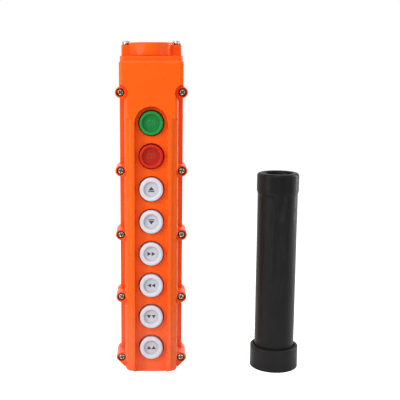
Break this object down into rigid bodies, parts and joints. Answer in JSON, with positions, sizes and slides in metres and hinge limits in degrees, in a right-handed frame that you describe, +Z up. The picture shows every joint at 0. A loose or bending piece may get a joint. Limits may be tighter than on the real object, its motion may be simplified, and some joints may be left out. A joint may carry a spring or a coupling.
{
  "type": "pendant control station",
  "caption": "Hand-held pendant control station: a column of sprung push buttons in a finger channel, a screwed two-part housing with a cable collar, and a loose rubber cable sleeve.",
  "frame": {"origin": "centre of the housing's base, on the axis of the cable entry", "axes": "+Z up towards the cable entry, -Y out of the button faces, +X to the right seen from the front"},
  "size_m": [0.188, 0.058, 0.3328],
  "materials": {
    "orange_plastic": "satin moulded plastic",
    "green_plastic": "satin moulded plastic",
    "red_plastic": "satin moulded plastic",
    "white_plastic": "satin moulded plastic",
    "black_plastic": "matt moulded plastic",
    "natural_nylon": "natural nylon",
    "black_rubber": "matt rubber",
    "zinc_steel": "bright zinc plate",
    "spring_steel": "drawn spring wire",
    "contact_brass": "rolled strip"
  },
  "bodies": {
    "housing": {"front_cover": "orange_plastic", "rear_cover": "orange_plastic", "gland_collar": "orange_plastic", "housing_gasket": "black_rubber", "seal_strip": "black_rubber", "carrier_plate": "black_plastic", "contact_block_on_off": "black_plastic", "contact_block_up_down": "black_plastic", "contact_block_east_west": "black_plastic", "contact_block_south_north": "black_plastic", "case_screw_left_1": "zinc_steel", "case_screw_left_2": "zinc_steel", "case_screw_left_3": "zinc_steel", "case_screw_left_4": "zinc_steel", "case_screw_left_5": "zinc_steel", "case_screw_right_1": "zinc_steel", "case_screw_right_2": "zinc_steel", "case_screw_right_3": "zinc_steel", "case_screw_right_4": "zinc_steel", "case_screw_right_5": "zinc_steel", "collar_screw_left": "zinc_steel", "collar_screw_right": "zinc_steel", "carrier_screw_1": "zinc_steel", "carrier_screw_2": "zinc_steel", "carrier_screw_3": "zinc_steel", "carrier_screw_4": "zinc_steel", "return_spring_on": "spring_steel", "return_spring_off": "spring_steel", "return_spring_up": "spring_steel", "return_spring_down": "spring_steel", "return_spring_east": "spring_steel", "return_spring_west": "spring_steel", "return_spring_south": "spring_steel", "return_spring_north": "spring_steel"},
    "button_on": {"button_on": "green_plastic", "plunger_on": "natural_nylon", "contact_bridge_on": "contact_brass"},
    "button_off": {"button_off": "red_plastic", "plunger_off": "natural_nylon", "contact_bridge_off": "contact_brass"},
    "button_up": {"button_up": "white_plastic", "plunger_up": "natural_nylon", "contact_bridge_up": "contact_brass"},
    "button_down": {"button_down": "white_plastic", "plunger_down": "natural_nylon", "contact_bridge_down": "contact_brass"},
    "button_east": {"button_east": "white_plastic", "plunger_east": "natural_nylon", "contact_bridge_east": "contact_brass"},
    "button_west": {"button_west": "white_plastic", "plunger_west": "natural_nylon", "contact_bridge_west": "contact_brass"},
    "button_south": {"button_south": "white_plastic", "plunger_south": "natural_nylon", "contact_bridge_south": "contact_brass"},
    "button_north": {"button_north": "white_plastic", "plunger_north": "natural_nylon", "contact_bridge_north": "contact_brass"},
    "sleeve": {"cable_sleeve": "black_rubber"}
  },
  "joints": [
    {"name": "press_on", "type": "slide", "parent": "housing", "child": "button_on", "axis": [0, 1, 0], "range_m": [0, 0.0035], "stiffness_N_per_m": 600, "springref_m": -0.004, "deforming": ["return_spring_on"]},
    {"name": "press_off", "type": "slide", "parent": "housing", "child": "button_off", "axis": [0, 1, 0], "range_m": [0, 0.0035], "stiffness_N_per_m": 600, "springref_m": -0.004, "deforming": ["return_spring_off"]},
    {"name": "press_up", "type": "slide", "parent": "housing", "child": "button_up", "axis": [0, 1, 0], "range_m": [0, 0.0035], "stiffness_N_per_m": 600, "springref_m": -0.004, "deforming": ["return_spring_up"]},
    {"name": "press_down", "type": "slide", "parent": "housing", "child": "button_down", "axis": [0, 1, 0], "range_m": [0, 0.0035], "stiffness_N_per_m": 600, "springref_m": -0.004, "deforming": ["return_spring_down"]},
    {"name": "press_east", "type": "slide", "parent": "housing", "child": "button_east", "axis": [0, 1, 0], "range_m": [0, 0.0035], "stiffness_N_per_m": 600, "springref_m": -0.004, "deforming": ["return_spring_east"]},
    {"name": "press_west", "type": "slide", "parent": "housing", "child": "button_west", "axis": [0, 1, 0], "range_m": [0, 0.0035], "stiffness_N_per_m": 600, "springref_m": -0.004, "deforming": ["return_spring_west"]},
    {"name": "press_south", "type": "slide", "parent": "housing", "child": "button_south", "axis": [0, 1, 0], "range_m": [0, 0.0035], "stiffness_N_per_m": 600, "springref_m": -0.004, "deforming": ["return_spring_south"]},
    {"name": "press_north", "type": "slide", "parent": "housing", "child": "button_north", "axis": [0, 1, 0], "range_m": [0, 0.0035], "stiffness_N_per_m": 600, "springref_m": -0.004, "deforming": ["return_spring_north"]},
    {"name": "sleeve_lift", "type": "slide", "parent": "housing", "child": "sleeve", "axis": [0, 0, 1], "range_m": [0, 0.35]}
  ]
}
